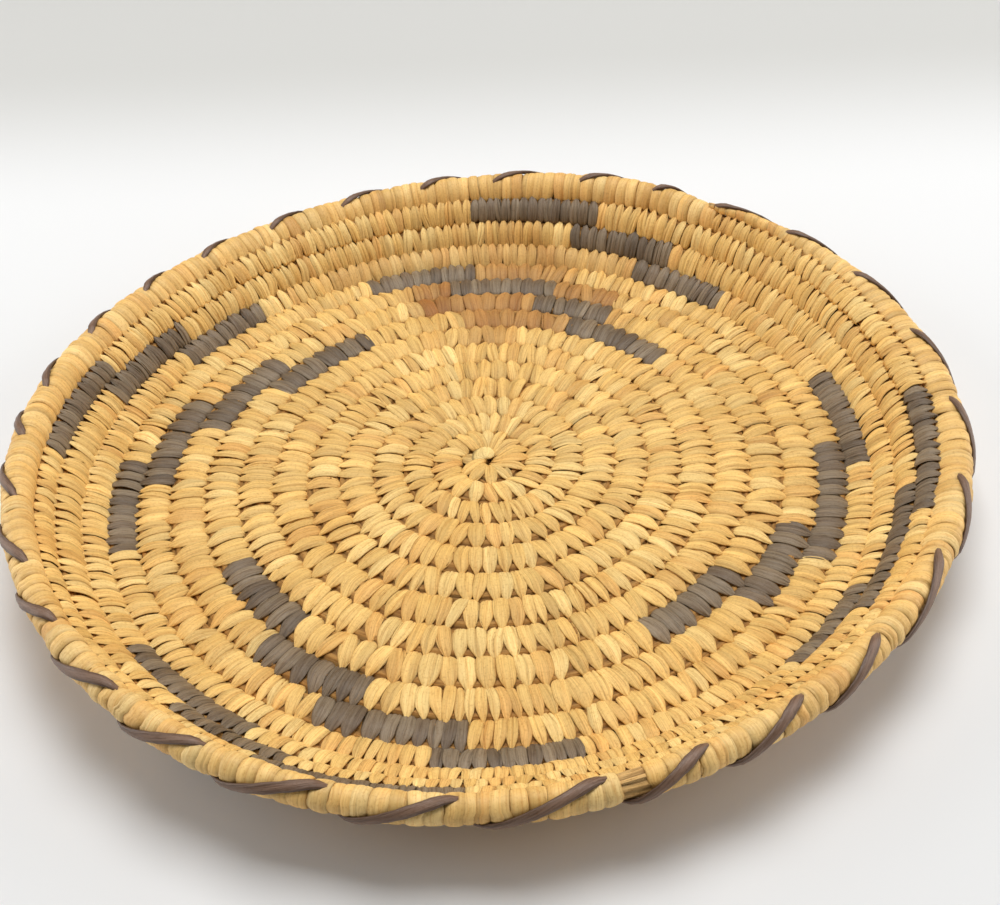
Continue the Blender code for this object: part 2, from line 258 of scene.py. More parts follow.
# Colours of the pale strips and how often each comes up, then the colours of the
# first stitches, the dark strips, the stems, the lashing and the floor.
PALE_TONES = np.array((
    (0.92, 0.60, 0.200), (0.89, 0.57, 0.180), (0.86, 0.52, 0.160),
    (0.96, 0.67, 0.250), (0.88, 0.52, 0.160),
))
TONE_ODDS = (0.36, 0.34, 0.10, 0.16, 0.04)
START_TONE = (0.97, 0.72, 0.29)
DARK_TONES = np.array(((0.235, 0.170, 0.102), (0.198, 0.140, 0.084), (0.274, 0.203, 0.124)))
BUNDLE_TONE = (0.50, 0.26, 0.07)
# The rim's bare stems: a paler brown, lightened further by painted light against the shade they lie in.
BARE_STEM_TONE_WITH_PAINTED_LIGHT = (0.80, 0.50, 0.19)
LASH_TONE = (0.165, 0.095, 0.058)
FLOOR_WHITE = (0.858, 0.858, 0.853)
FLOOR_FAR = (0.635, 0.63, 0.605)

# The wraps are a little less yellow than the stitches, and this power deepens the
# painted shade at their edges, in their folds and where the lashing presses them.
RIM_TINT = (0.9672, 0.9568, 0.9984)
WRAP_SHADE_POWER = 1.7

# What is left of a colour down in the grooves between the rows: partly dirt, partly painted shade.
PALE_DIRT_AND_SHADE = (0.90, 0.83, 0.72)
DARK_DIRT_AND_SHADE = (0.72, 0.66, 0.6)
WRAP_DIRT_AND_SHADE = (1, 1, 1)

# The photograph's camera, 29 cm in front of the plate's middle and 26 cm above the
# floor.  Its tilt down and its roll are in radians.
CAMERA_AT = np.array((5.46, -291.37, 260.33)) * MM + SPIRAL_CENTRE
CAMERA_PITCH = 0.713726
CAMERA_ROLL = -0.035799
FOCAL_PIXELS = 1306.98
IMAGE_WIDTH = 1000
SENSOR_WIDTH = 36.0

# The white sheet turns greyer between these distances behind the middle, in metres.
GREY_FROM, GREY_TO = 0.16, 0.3

# Lamps that shine on the plate: name, place in metres, and power in watts.
LAMPS = (
    ("roof", (0.06, 0.31, 1.3), 14.0),
    ("left_wall", (-0.95, 0.12, 0.36), 5.2),
    ("right_wall", (0.95, 0.12, 0.36), 5.0),
)
LAMP_SIZE = 0.8
WORLD_STRENGTH = 0.12

# Seeds of the random draws.
LAYING_SEED, WRAP_SEED, LASH_SEED = 5, 191, 31
rng = np.random.default_rng(7)


def stations(table, value):
    """Read sizes between the stations of a (place, millimetres) table, in metres."""
    return np.interp(value, [row[0] for row in table], [row[1] for row in table]) * MM


def section_line(steps_per_turn=120, first=-1, last=17):
    """Step outward from the centre: turn, radius and rise along the section."""
    turns = np.arange(first * steps_per_turn, last * steps_per_turn + 1) / steps_per_turn
    middles = (turns[:-1] + turns[1:]) / 2
    pitch = stations(TURN_PITCH, middles)
    slope = np.radians(stations(TURN_SLOPE, middles) / MM)
    radius = np.concatenate(([0], np.cumsum(pitch * np.cos(slope)))) / steps_per_turn
    rise = np.concatenate(([0], np.cumsum(pitch * np.sin(slope)))) / steps_per_turn
    start = -first * steps_per_turn
    return turns, radius - radius[start] + START_RADIUS, rise - rise[start]


SECTION = section_line()


def spiral_radius(turn):
    return np.interp(turn, SECTION[0], SECTION[1])


def ring_length(turn):
    return 2 * np.pi * spiral_radius(turn)


def smooth(share):
    """Ease from 0 to 1."""
    share = np.clip(share, 0, 1)
    return share * share * (3 - 2 * share)


def turn_angle(turn):
    return np.pi / 2 + 2 * np.pi * turn


def row_turn(row, degrees):
    """Turn of the coil's middle in a row, at an angle measured from +X."""
    return row + 0.5 + ((degrees + 90) % 360) / 360


def rim_degrees(turn):
    """Angle along the rim coil, which runs on past 360."""
    return 90 + 360 * (turn - 15)


def wave(parts, angle):
    """A gentle wave round the plate, in metres."""
    total = 0
    for times, (cosine, sine) in enumerate(zip(parts[::2], parts[1::2]), 1):
        total = total + cosine * np.cos(times * angle) + sine * np.sin(times * angle)
    return total * MM


def wall_section(turn, angle):
    """Radius and height of the coil's middle on the not quite round or level plate."""
    radius = spiral_radius(turn)
    height = np.interp(turn, SECTION[0], SECTION[2]) + MIDDLE_HEIGHT
    outward = np.clip(turn / ROUND_OVER, 0, 1)
    raised = np.clip((turn - LEVEL_FROM) / LEVEL_OVER, 0, 1)
    climb = CLIMB * np.interp(turn, CLIMB_TURNS, (0, 1, 1, 0))
    sag = np.interp(turn, *SAG_TURNS) * np.exp(-((np.degrees(angle) % 360 - SAG_AT) / SAG_REACH) ** 2)
    radius = radius + outward * wave(OUT_OF_ROUND, angle) + sag * SAG_OUT
    return radius, height + raised * wave(OUT_OF_LEVEL, angle) + climb - sag * SAG_DOWN


def tail_share(turn):
    """0 before the rim's tail begins, 1 at its end."""
    return np.clip((turn - RIM_END + TAIL_TURNS) / TAIL_TURNS, 0, 1)


def rim_section(turn, angle):
    """Radius and height of the rim coil's middle."""
    start = 1 - smooth((turn - WALL_END) / RIM_START_TURNS)
    tail = tail_share(turn)
    radius = (RIM_START[0] + RIM_SPREAD * (turn - WALL_END)) * MM + wave(RIM_OUT_OF_ROUND, angle)
    height = RIM_START[1] * MM + wave(RIM_OUT_OF_LEVEL, angle)
    radius = radius + start * RIM_START_RISE[0] + tail * TAIL_RIDE[0]
    radius = radius - RIM_START_TUCK * (1 - smooth((turn - WALL_END) / RIM_TUCK_TURNS))
    return radius, height + start * RIM_START_RISE[1] + tail * (2 - tail) * TAIL_RIDE[1]


def coil_frame(turn, angle):
    """Section frame of the coil: middle, way out along the plate, and half its pitch."""
    inner = np.stack(wall_section(turn - 0.5, angle), -1)
    outer = np.stack(wall_section(turn + 0.5, angle), -1)
    middle = np.stack(wall_section(turn, angle), -1)
    rim = np.stack(rim_section(turn + 1, angle), -1)
    beside_rim = smooth((turn - WALL_END + 1) / 0.05)[..., None]
    outer = outer + beside_rim * ((middle + rim) / 2 - outer)
    across = outer - inner
    length = np.linalg.norm(across, axis=-1, keepdims=True)
    return middle, across / length, length[..., 0] / 2


def rim_frame(turn, angle):
    """Section frame of the rim coil, leaning out from the wall turn inside it."""
    middle = np.stack(rim_section(turn, angle), -1)
    across = middle - np.stack(wall_section(turn - 1, angle), -1)
    across = across / np.linalg.norm(across, axis=-1, keepdims=True)
    return middle, across, rim_radius(turn)


def rim_radius(turn):
    """The rim coil swells at its start, is pinched at each tuck and thins to a tail."""
    swell = smooth((turn - WALL_END + 0.02) / 0.05)
    pinch = LASH_PINCH * near_tuck(rim_degrees(turn), PINCH_REACH)
    full = RIM_RADIUS + wave(RIM_SWELL, turn_angle(turn)) - pinch
    radius = RIM_START_RADIUS + swell * (full - RIM_START_RADIUS)
    return radius + tail_share(turn) * (TAIL_RADIUS - full)


def near_tuck(degrees, reach):
    """1 where the lashing tucks in, falling to 0 a few degrees away."""
    away = np.asarray(degrees)[..., None] - (np.array(LASH_ANGLES) + LASH_TUCK / 2)
    return np.exp(-np.min(np.abs(away), axis=-1) ** 2 / reach ** 2)


def to_world(angle, radius, height):
    flat = np.stack((radius * np.cos(angle), radius * np.sin(angle), height), -1)
    return flat + SPIRAL_CENTRE


def place(frame_of, turn, x, y):
    """World point at x out along the plate and y up from it, at a turn."""
    angle = turn_angle(turn)
    middle, across, _ = frame_of(turn, angle)
    radius = middle[..., 0] + x * across[..., 0] - y * across[..., 1]
    height = middle[..., 1] + x * across[..., 1] + y * across[..., 0]
    turns, right, back = np.array(DRIFT).T
    drift = np.stack((np.interp(turn, turns, right), np.interp(turn, turns, back), 0 * turn), -1) * MM
    return to_world(angle, np.maximum(radius, 0.1 * MM), height) + drift


def lash_around(degrees, share):
    """Way round the rim of the lashing, a share of the way to its tuck, in degrees."""
    top = np.interp(np.asarray(degrees) % 360, *LASH_OVER)
    return LASH_FROM + (top - LASH_FROM) * share


def lash_press(turn, x, y):
    """How far the lashing presses a wrap in, in metres."""
    _, across, _ = rim_frame(turn, turn_angle(turn))
    out = x * across[..., 0] - y * across[..., 1]
    up = x * across[..., 1] + y * across[..., 0]
    around = np.degrees(np.arctan2(up, out))
    degrees = rim_degrees(turn)
    ends = np.array(LASH_ANGLES, float)
    starts = np.append(LASH_FIRST, ends[:-1]) + LASH_TUCK
    which = np.clip(np.searchsorted(ends, degrees), 0, len(ends) - 1)
    share = (degrees - starts[which]) / (ends[which] - starts[which])
    away = (around - lash_around(degrees, share)) * np.radians(1) * RIM_RADIUS * GROOVE_AT / MM
    return LASH_GROOVE * np.exp(-(away / GROOVE_REACH) ** 2) * (share > -0.2) * (share < 1.1)


def signed_power(value, power):
    return np.sign(value) * np.abs(value) ** power


def make_stitches(frame_of, path, turns, widths, crowns, seed, sharp, bite, doming, slack, folds,
                  press=None):
    """Points, faces, fibre coordinates, painted shade and groove of a run of stitches.

    Each stitch is a closed loop that follows the path.  Sharp is the power that
    narrows its ends, bite how far it starts over the row before, doming the share of
    its width by which its edges fall, and slack how many millimetres its ends may
    stray sideways.  Press gives how far a point is pressed in, and painted shade
    darkens the points it presses.
    """
    local = np.random.default_rng(seed)
    count, rings, sides = len(turns), len(path), len(ACROSS)
    shape = (count, rings, sides)
    along = np.linspace(-1, 1, rings)
    head = (path[:, 0] < HEAD_AT) & (path[:, 1] > 0)
    reach = 1 + local.normal(0, REACH_SPREAD, (count, 1))
    x_share = np.where(head, HEAD_AT + (path[:, 0] - HEAD_AT) * bite[:, None], path[:, 0]) * reach
    y_share = path[:, 1][None, :] + np.zeros((count, 1))
    width = path[:, 2][None, :] ** sharp[:, None]
    width = width * (1 + WIDTH_WAVE * np.sin(3.1 * along[None, :] + local.uniform(0, 6, (count, 1))))
    half = width * widths[:, None] / 2
    side = half[:, :, None] * ACROSS

    # How far each point lies under the path, and the painted shade on its edges and in its folds.
    edge = np.abs(ACROSS)
    depth = np.minimum(DOME_LIMIT * crowns, widths * doming)[:, None]
    depth = depth * np.interp(x_share, *DOME_ALONG)
    relief = -depth[:, :, None] * edge ** 3
    shade = 1 - EDGE_SHADE * edge[None, None, :] ** 4 + np.zeros(shape)
    for _ in range(folds):
        middle = local.uniform(-0.85, 0.85, (count, 1, 1))
        middle = middle + local.normal(0, 0.22, (count, 1, 1)) * along[None, :, None]
        deep = local.choice(FOLD_DEPTHS, (count, 1, 1), p=FOLD_ODDS) * MM
        fold = np.exp(-((ACROSS - middle) / FOLD_WIDTH) ** 2)
        relief = relief - deep * fold
        step = local.normal(0, 0.03, (count, 1, 1)) * np.tanh((ACROSS - middle) * 14)
        # Painted shade in each fold, darker the deeper it is; the step is a random change of tone.
        shade = shade * (1 - fold * deep * FOLD_SHADE) * (1 + step)
    relief = relief + local.normal(0, HEIGHT_SPREAD, (count, 1, 1)) * MM
    relief[:, :, -1] = -UNDERSIDE

    # The section of each stitch, out along the plate and up from it.
    pitch_half = frame_of(turns, turn_angle(turns))[2]
    x_middle = x_share * pitch_half[:, None]
    y_middle = y_share * crowns[:, None]
    slant = np.arctan2(y_share * pitch_half[:, None], x_share * crowns[:, None])
    x = x_middle[:, :, None] + relief * np.cos(slant)[:, :, None]
    y = y_middle[:, :, None] + relief * np.sin(slant)[:, :, None]
    tilt = local.normal(0, TILT_SPREAD, (count, 1, 1))
    y = y + side * tilt * np.clip(y_share, -1, 1)[:, :, None]

    # Its points along the coil, nearer together in turns the further out they lie.
    stray = LEAN + slack[:, None] * local.normal(0, 1, (count, 1))
    lean = stray * MM * np.clip(x_share, -1.2, 1.2) * np.sign(y_share + 0.1)
    sway = local.normal(0, SWAY_SPREAD, (count, 1)) * MM * np.cos(2.4 * x_share)
    offset = side + (lean + sway)[:, :, None]
    radius = spiral_radius(turns)[:, None, None] + np.clip(x, -3.2 * MM, None) * 0.75
    turn = turns[:, None, None] + offset / (2 * np.pi * np.maximum(radius, 1.5 * MM))
    if press:
        pressed = 1 - press(turn, x, y) / np.hypot(x, y)
        x, y = x * pressed, y * pressed
        # Painted shade where the lashing presses the wraps in.
        shade = shade * (0.7 + 0.3 * smooth((pressed - 0.88) / 0.1))
    points = place(frame_of, turn, x, y).reshape(-1, 3)

    pieces = np.hypot(np.diff(x_middle, axis=1), np.diff(y_middle, axis=1))
    length = np.concatenate((np.zeros((count, 1)), np.cumsum(pieces, axis=1)), axis=1) / MM
    mark = local.random((count, 1, 1)) * 100 + np.zeros(shape)
    strand = np.stack((length[:, :, None] + np.zeros(shape), side / MM, mark), -1).reshape(-1, 3)
    # Groove is 0 down between the rows, where dirt and painted shade darken the colour, and 1 over the
    # crown.
    groove = smooth((y_share - 0.25) / 0.55)[:, :, None] + np.zeros(shape)
    return points, loop_faces(count, rings, sides), strand, shade, groove


def loop_faces(count, rings, sides):
    """Quads of closed loops whose cross-sections are closed too."""
    r, s = np.meshgrid(np.arange(rings), np.arange(sides), indexing="ij")

    def corner(a, b):
        return (a % rings) * sides + b % sides

    quad = np.stack((corner(r, s), corner(r, s + 1), corner(r + 1, s + 1), corner(r + 1, s)), -1)
    quad = quad.reshape(-1, 4)
    firsts = (np.arange(count) * rings * sides)[:, None, None]
    return (quad[None] + firsts).reshape(-1, 4).tolist()


def tube_faces(rings, sides):
    """Quads of an open tube, and its two end caps."""
    r, s = np.meshgrid(np.arange(rings - 1), np.arange(sides), indexing="ij")
    quads = np.stack((r * sides + s, r * sides + (s + 1) % sides,
                      (r + 1) * sides + (s + 1) % sides, (r + 1) * sides + s), -1)
    caps = [list(range(sides))[::-1], [(rings - 1) * sides + i for i in range(sides)]]
    return quads.reshape(-1, 4).tolist() + caps


def mesh_object(name, points, faces, material, strand=None, tone=None):
    """A smooth mesh from arrays, with its fibre and colour attributes."""
    mesh = bpy.data.meshes.new(name)
    mesh.from_pydata(points.tolist(), [], faces)
    if strand is not None:
        mesh.attributes.new("strand", "FLOAT_VECTOR", "POINT").data.foreach_set("vector", strand.ravel())
    if tone is not None:
        rgba = np.concatenate((tone, np.ones((len(tone), 1))), 1)
        mesh.attributes.new("tone", "FLOAT_COLOR", "POINT").data.foreach_set("color", rgba.ravel())
    mesh.materials.append(material)
    mesh.shade_smooth()
    piece = bpy.data.objects.new(name, mesh)
    bpy.context.scene.collection.objects.link(piece)
    return piece


def lay_stitches():
    """Turns of all stitches.  Each one sits between two tips of the turn inside it."""
    local = np.random.default_rng(LAYING_SEED)
    laid = [-0.02]
    while laid[-1] < FREE_TURNS:
        turn = laid[-1]
        laid.append(turn + stations(STITCH_STEP, turn) / ring_length(turn))
    parent = 0
    row_start = len(laid)
    while laid[-1] < WALL_END:
        first, second = laid[parent], laid[parent + 1]
        middle = (first + second) / 2 + 1
        share = (second - first) * ring_length(middle) / stations(STITCH_STEP, middle)
        extra_limit = local.uniform(EXTRA_FROM, EXTRA_TO)
        number = 2 if share > extra_limit else 1 if share > 0.5 else 0
        for place_in_gap in range(number):
            turn = first + 1 + (second - first) * (place_in_gap + 0.5) / number
            if turn > laid[-1]:
                laid.append(turn)
        parent += 1
        if laid[-1] > laid[row_start - 1] + 1:
            row_start = even_out(laid, row_start)
    return np.array([turn for turn in laid if turn < WALL_END - 0.001])


def even_out(laid, start):
    """Even the spacing of the last row a little, and say where the next one starts."""
    end = len(laid) - 4
    for _ in range(2):
        for i in range(max(start, 1), end):
            laid[i] = 0.5 * laid[i] + 0.25 * (laid[i - 1] + laid[i + 1])
    return end


def gaps_round(turns):
    """Room for each stitch along the coil."""
    step = np.diff(turns)
    before = np.concatenate((step[:1], step))
    after = np.concatenate((step, step[-1:]))
    return (before + after) / 2


def in_step(turns, row, start, end):
    """Which stitches belong to a dark step."""
    first = row_turn(row, start)
    return (turns > first) & (turns <= first + (end - start) / 360)


def stain_mask(turn, degrees, row, start, end):
    """How much a stain covers: 1 inside a stretch of a row, 0 outside."""
    in_row = np.abs(turn - row_turn(row, degrees)) < 0.5
    inside = np.minimum(degrees - start, end - degrees)
    return in_row * smooth(inside / STAIN_SOFT + 0.5)


def pale_tones(turns, seed):
    """A colour for each pale stitch, with the stained ones at the back."""
    local = np.random.default_rng(seed)
    tone = PALE_TONES[local.choice(len(PALE_TONES), len(turns), p=TONE_ODDS)]
    tone = tone * local.normal(1, 0.045, (len(turns), 1))
    tone[turns < 0] = START_TONE
    degrees = np.degrees(turn_angle(turns)) % 360
    stain = np.zeros(len(turns))
    for row, start, end, strength in STAINS:
        stain = np.maximum(stain, strength * stain_mask(turns, degrees, row, start, end))
    stain = stain * local.uniform(0.75, 1.0, len(turns))
    return tone + stain[:, None] * (STAIN_TONE - tone)


def dark_tones(turns, seed):
    """A colour for each dark stitch."""
    local = np.random.default_rng(seed)
    tone = DARK_TONES[local.choice(len(DARK_TONES), len(turns))]
    return tone * local.normal(1, 0.08, (len(turns), 1))


def spread_tone(tones, shade, groove, dirt_and_shade):
    """Each stitch's colour over its points, times its painted shade, and browner down in the grooves
    from dirt and painted shade.
    """
    deep = np.array(dirt_and_shade) + (1 - np.array(dirt_and_shade)) * groove[..., None]
    return (tones[:, None, None, :] * shade[..., None] * deep).reshape(-1, 3)


def new_material(name):
    material = bpy.data.materials.new(name)
    material.use_nodes = True
    return material, material.node_tree.nodes, material.node_tree.links


def add_noise(nodes, links, vector, scale, detail, roughness):
    noise = nodes.new("ShaderNodeTexNoise")
    noise.inputs["Scale"].default_value = scale
    noise.inputs["Detail"].default_value = detail
    noise.inputs["Roughness"].default_value = roughness
    links.new(vector, noise.inputs["Vector"])
    return noise.outputs["Fac"]


def add_ramp(nodes, links, value, stops):
    """Colours at heights of a value: each stop is a place from 0 to 1 and a colour."""
    ramp = nodes.new("ShaderNodeValToRGB")
    elements = ramp.color_ramp.elements
    while len(elements) < len(stops):
        elements.new(0.5)
    for element, (at, colour) in zip(elements, stops):
        element.position = at
        element.color = (*colour, 1)
    links.new(value, ramp.inputs["Fac"])
    return ramp.outputs["Color"]


def multiply(nodes, links, first, second):
    product = nodes.new("ShaderNodeVectorMath")
    product.operation = "MULTIPLY"
    links.new(first, product.inputs[0])
    links.new(second, product.inputs[1])
    return product.outputs["Vector"]


def fibre_material(name, roughness, gloss, bump, contrast, fine=3.6, coarse=1.3, patchy=0.08):
    """Split leaf, bark or grass: a piece's tone, painted shade and highlight included, streaked along
    its fibres.
    """
    material, nodes, links = new_material(name)
    shader = nodes["Principled BSDF"]
    shader.inputs["Roughness"].default_value = roughness
    shader.inputs["Specular IOR Level"].default_value = gloss

    strand = nodes.new("ShaderNodeAttribute")
    strand.attribute_name = "strand"
    layers = []
    for across, lengthwise in ((fine, 0.13), (coarse, 0.07)):
        stretch = nodes.new("ShaderNodeVectorMath")
        stretch.operation = "MULTIPLY"
        stretch.inputs[1].default_value = (lengthwise, across, 1.0)
        links.new(strand.outputs["Vector"], stretch.inputs[0])
        layers.append(add_noise(nodes, links, stretch.outputs["Vector"], 1.0, 4.0, 0.6))
    position = nodes.new("ShaderNodeNewGeometry").outputs["Position"]
    specks = add_noise(nodes, links, position, 1500.0, 3.0, 0.6)
    patches = add_noise(nodes, links, position, 60.0, 2.0, 0.5)

    low = 1 - contrast
    fine_tint = add_ramp(nodes, links, layers[0], (
        (0.36, (low, low * 0.90, low * 0.80)), (0.48, (0.99, 0.985, 0.98)), (0.64, (1.05, 1.06, 1.09))))
    coarse_tint = add_ramp(nodes, links, layers[1], (
        (0.34, (low + 0.1, low + 0.03, low - 0.04)), (0.5, (1.0, 1.0, 1.0)), (0.66, (1.06, 1.06, 1.07))))
    speck_tint = add_ramp(nodes, links, specks, (
        (0.32, (0.86, 0.79, 0.70)), (0.44, (0.99, 0.985, 0.98)), (0.62, (1.03, 1.03, 1.04))))
    patch_tint = add_ramp(nodes, links, patches, (
        (0.34, (1 - patchy * 0.6, 1 - patchy, 1 - patchy * 1.7)), (0.5, (1.0, 1.0, 1.0)),
        (0.68, (1 + patchy * 0.4, 1 + patchy * 0.6, 1 + patchy * 0.9))))

    tone = nodes.new("ShaderNodeAttribute")
    tone.attribute_name = "tone"
    colour = tone.outputs["Color"]
    for tint in (fine_tint, coarse_tint, speck_tint, patch_tint):
        colour = multiply(nodes, links, colour, tint)
    links.new(colour, shader.inputs["Base Color"])

    normal = None
    for layer, distance in zip(layers, (0.00022, 0.00045)):
        relief = nodes.new("ShaderNodeBump")
        relief.inputs["Strength"].default_value = bump
        relief.inputs["Distance"].default_value = distance
        links.new(layer, relief.inputs["Height"])
        if normal:
            links.new(normal, relief.inputs["Normal"])
        normal = relief.outputs["Normal"]
    links.new(normal, shader.inputs["Normal"])
    return material


def make_foundation(name, frame_of, first, last, inset, fill, square, colour, step=5 * MM):
    """The bundle inside the stitches: stems that run along the coil with a slow twist.

    Inset says how many millimetres it lies under the crown, fill is its width as a share
    of the row's, and square the power that squares its corners.
    """
    turns = [first]
    while turns[-1] < last:
        radius = max(spiral_radius(turns[-1]), 3 * MM)
        turns.append(min(turns[-1] + step / (2 * np.pi * radius), last))
    turns = np.array(turns)
    half = frame_of(turns, turn_angle(turns))[2]
    sewn = frame_of is coil_frame
    depth = stations(inset, turns)
    high = stations(CROWN, turns) - depth if sewn else half - depth
    wide = half * fill if sewn else half - depth
    around = 2 * np.pi * np.arange(BUNDLE_SIDES) / BUNDLE_SIDES
    in_furrow = np.arange(BUNDLE_SIDES) % 3 == 0
    furrow = np.where(in_furrow, -FURROW_DEPTH, 0.0)
    close = np.ones((len(turns), 1))
    close[[0, -1]] = 0.25
    turned = around[None, :] + turns[:, None] * STEM_TWIST
    x = (wide[:, None] + furrow) * signed_power(np.sin(turned), square) * close
    y = (high[:, None] + furrow) * signed_power(np.cos(turned), square) * close
    y = np.maximum(y, -MIDDLE_HEIGHT + BUNDLE_ROOM) if sewn else y
    points = place(frame_of, turns[:, None] + 0 * x, x, y).reshape(-1, 3)
    distance = np.cumsum(np.append(0, np.diff(turns)) * ring_length(turns)) / MM
    strand = np.stack((distance[:, None] + 0 * x, around[None, :] * 4 + 0 * x, 0 * x), -1)
    # Painted shade in the furrows between the stems.
    painted_furrow_shade = np.where(in_furrow, FURROW_SHADE, 1.0)[None, :, None] + 0 * x[..., None]
    tone = (painted_furrow_shade * np.array(colour)).reshape(-1, 3)
    faces = tube_faces(len(turns), BUNDLE_SIDES)
    return mesh_object(name, points, faces, bundle, strand.reshape(-1, 3), tone)


def rim_wraps():
    """Turns of the rim's wraps, closer together where the lashing squeezes them."""
    local = np.random.default_rng(WRAP_SEED)
    turns = [WALL_END]
    while turns[-1] < RIM_END - 0.002:
        squeeze = WRAP_SQUEEZE * near_tuck(rim_degrees(turns[-1]), SQUEEZE_REACH)
        step = (WRAP_STEP - squeeze) * local.uniform(0.8, 1.2)
        turns.append(turns[-1] + step / RIM_LENGTH)
    turns = np.array(turns)
    degrees = rim_degrees(turns)
    return turns, (degrees < BARE_PATCH[0]) | (degrees > BARE_PATCH[1])


def lash_path():
    """Stations of the dark strip round and round the rim.

    Each is an angle, the way round the rim in degrees, how many millimetres it stands
    over the rim coil, and the share of its width.
    """
    rows = []
    begin = LASH_FIRST
    for tuck in LASH_ANGLES:
        begin += LASH_TUCK
        for share in np.linspace(0, 1, 15):
            full = smooth((1 - share) / 0.12) * smooth(share / 0.12)
            degrees = begin + (tuck - begin) * share
            proud = LASH_END_PROUD + (LASH_PROUD - LASH_END_PROUD) * full
            width = LASH_END_WIDTH + (1 - LASH_END_WIDTH) * full
            rows.append((degrees, lash_around(degrees, share), proud, width))
        top = lash_around(tuck, 1)
        for share, proud in LASH_UNDER:
            around = top + (360 + LASH_FROM - top) * share
            rows.append((tuck + LASH_TUCK * share, around, proud, LASH_UNDER_WIDTH))
        begin = tuck
    return np.array(rows[:-len(LASH_UNDER)])


def make_lash(name, material, sides=14):
    """A flattened strip of dark bark that follows the lashing's line, flat on the wraps."""
    degrees, around, proud, width = lash_path().T
    turn = 15 + (degrees - 90) / 360
    angle = turn_angle(turn)
    radius, height = rim_section(turn, angle)
    reach = rim_radius(turn) + proud * MM
    turned = np.radians(around)
    out = np.cos(turned)
    middle = to_world(angle, radius + reach * out, height + reach * np.sin(turned))
    outward = np.stack((out * np.cos(angle), out * np.sin(angle), np.sin(turned)), -1)
    along = np.gradient(middle, axis=0)
    along = along / np.linalg.norm(along, axis=1, keepdims=True)
    across = np.cross(outward, along)
    across = across / np.linalg.norm(across, axis=1, keepdims=True)
    outward = np.cross(along, across)
    ring = 2 * np.pi * np.arange(sides) / sides
    local = np.random.default_rng(LASH_SEED)
    ribs = np.array([0.0 if i % 2 else -0.10 for i in range(sides)]) * MM
    wide = (LASH_WIDE * width * local.uniform(0.9, 1.1, len(width)))[:, None] * np.cos(ring)
    thick = (LASH_THICK + ribs) * np.sin(ring) * (0.7 + 0.3 * width[:, None])
    sideways = across[:, None, :] * wide[..., None]
    upward = outward[:, None, :] * thick[..., None]
    points = (middle[:, None, :] + sideways + upward).reshape(-1, 3)
    distance = np.cumsum(np.append(0, np.linalg.norm(np.diff(middle, axis=0), axis=1))) / MM
    strand = np.stack((distance[:, None] + 0 * wide, wide / MM, 0 * wide), -1).reshape(-1, 3)
    # Painted highlight: the middle of the strip's outer face is lighter, the rest darker.
    painted_highlight = (0.7 + 0.75 * np.clip(np.sin(ring), 0, 1) ** 2)[None, :, None] + 0 * wide[..., None]
    tone = (painted_highlight * np.array(LASH_TONE)).reshape(-1, 3)
    return mesh_object(name, points, tube_faces(len(width), sides), material, strand, tone)


def dress(piece, slot, *nodes):
    """Tell the frame which body a piece rides on and the nodes it replaces; the slot is not used."""
    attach(piece, "root")
    if nodes:
        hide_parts(*nodes)


pale = fibre_material(
    "pale_leaf", roughness=0.56, gloss=0.34, bump=0.5, contrast=0.2, fine=4.2, patchy=0.11)
dark = fibre_material("dark_strip", roughness=0.5, gloss=0.5, bump=0.7, contrast=0.34)
rim_leaf = fibre_material(
    "rim_leaf", roughness=0.52, gloss=0.36, bump=0.35, contrast=0.12, fine=3.0, patchy=0.11)
bundle = fibre_material(
    "grass_bundle", roughness=0.66, gloss=0.25, bump=0.8, contrast=0.4, fine=2.2, coarse=0.7)
lash_bark = fibre_material("lash_bark", roughness=0.42, gloss=0.5, bump=0.7, contrast=0.34)

stitches = lay_stitches()
stitches = stitches + gaps_round(stitches) * rng.normal(0, 0.05, len(stitches))
room = gaps_round(stitches) * ring_length(stitches)
is_dark = np.zeros(len(stitches), bool)

# The dark stitches, step by step.
for motif, steps in DARK_STEPS.items():
    for number, (row, start, end) in enumerate(steps, 1):
        mine = in_step(stitches, row, start, end)
        is_dark |= mine
        turns = stitches[mine]
        points, quads, strand, shade, groove = make_stitches(
            coil_frame, LEAF, turns, room[mine] * DARK_OVERLAP, stations(CROWN, turns),
            seed=row * 40 + number, sharp=rng.uniform(0.6, 1.1, len(turns)),
            bite=np.full(len(turns), 0.9), doming=0.1, slack=np.full(len(turns), 0.3), folds=5)
        tone = spread_tone(dark_tones(turns, row * 31 + number), shade, groove, DARK_DIRT_AND_SHADE)
        step = mesh_object(f"dark_stitches_{motif}_{number}", points, quads, dark, strand, tone)
        dress(step, "dark_sewing", f"dark_step_{motif}_{number}")

# The pale stitches, row by row.  Those of the wall and near the centre are squarer.
# Those of the wall start further in, and those beside the coil's start reach in
# over it.  The very first is twice as wide.
for row in range(15):
    mine = ~is_dark & (stitches >= (row + 0.25 if row else -1)) & (stitches < row + 1.25)
    turns = stitches[mine]
    widths = room[mine] * rng.uniform(*PALE_OVERLAP, len(turns)) * np.where(turns < 0, 2, 1)
    in_wall = smooth((turns - 10.5) / 1.5)
    near_centre = smooth((4 - turns) / 3)
    by_start = np.clip(1 - np.abs(turns - 0.84) / 0.24, 0, 1)
    points, quads, strand, shade, groove = make_stitches(
        coil_frame, LEAF, turns, widths, stations(CROWN, turns), seed=row,
        sharp=rng.uniform(0.8, 1.25, len(turns)) - 0.25 * in_wall - 0.3 * near_centre,
        bite=1 + 0.5 * in_wall + 2 * by_start, doming=0.11, slack=0.55 - 0.3 * in_wall, folds=4)
    tone = spread_tone(pale_tones(turns, row + 500), shade, groove, PALE_DIRT_AND_SHADE)
    sewn = mesh_object(f"pale_stitches_row_{row:02d}", points, quads, pale, strand, tone)
    dress(sewn, "pale_sewing")

